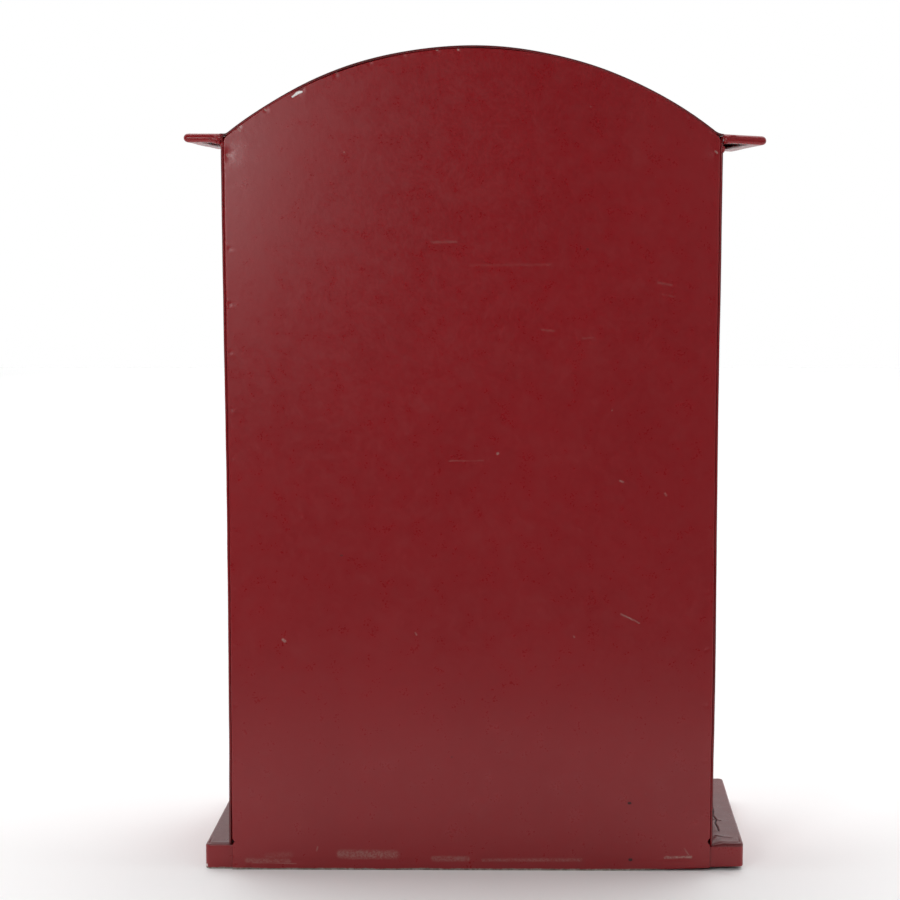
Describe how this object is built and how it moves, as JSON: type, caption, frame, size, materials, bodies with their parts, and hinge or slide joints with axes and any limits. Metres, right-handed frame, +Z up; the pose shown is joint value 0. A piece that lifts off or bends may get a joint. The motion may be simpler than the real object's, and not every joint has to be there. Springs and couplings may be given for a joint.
{
  "type": "mailbox",
  "caption": "Free-standing sheet-metal mailbox with an arched roof, side eaves, a plinth, a top slot with a lifting flap and a locking front door.",
  "frame": {"origin": "centre of the footprint at floor level", "axes": "+Z up, the front with door and slot faces -Y, the flat back panel faces +Y"},
  "size_m": [0.2984, 0.13, 0.433],
  "materials": {
    "red_paint": "satin dark red enamel",
    "inside_paint": "thin dark red enamel",
    "zinc_steel": "zinc plated",
    "lock_chrome": "polished nickel"
  },
  "bodies": {
    "case": {"back_panel": "red_paint", "front_panel": "red_paint", "side_panel_right": "red_paint", "side_panel_left": "red_paint", "floor_plate": "inside_paint", "roof_shell": "red_paint", "plinth_tray": "red_paint", "mail_guard": "inside_paint", "lock_strike": "inside_paint", "hinge_leaf_frame_lower": "red_paint", "hinge_leaf_frame_upper": "red_paint", "hinge_pin_lower": "zinc_steel", "hinge_pin_upper": "zinc_steel", "flap_bracket_left": "red_paint", "flap_bracket_right": "red_paint", "bracket_rivet_left": "zinc_steel", "bracket_rivet_right": "zinc_steel"},
    "door": {"door_panel": "red_paint", "hinge_leaf_door_lower": "red_paint", "hinge_leaf_door_upper": "red_paint", "lock_housing": "lock_chrome", "lock_nut": "zinc_steel"},
    "lock_core": {"lock_plug": "lock_chrome", "lock_cam": "zinc_steel", "lock_cam_screw": "zinc_steel"},
    "flap": {"slot_flap": "red_paint", "flap_rod": "zinc_steel"}
  },
  "joints": [
    {"name": "door_hinge", "type": "hinge", "parent": "case", "child": "door", "pos_m": [-0.1121, -0.0497, 0.158], "axis": [0, 0, -1], "range_deg": [0, 110]},
    {"name": "lock_turn", "type": "hinge", "parent": "door", "child": "lock_core", "pos_m": [0.0915, -0.05, 0.158], "axis": [0, -1, 0], "range_deg": [0, 90]},
    {"name": "flap_hinge", "type": "hinge", "parent": "case", "child": "flap", "pos_m": [0.0015, -0.0505, 0.366], "axis": [-1, 0, 0], "range_deg": [0, 80]}
  ]
}
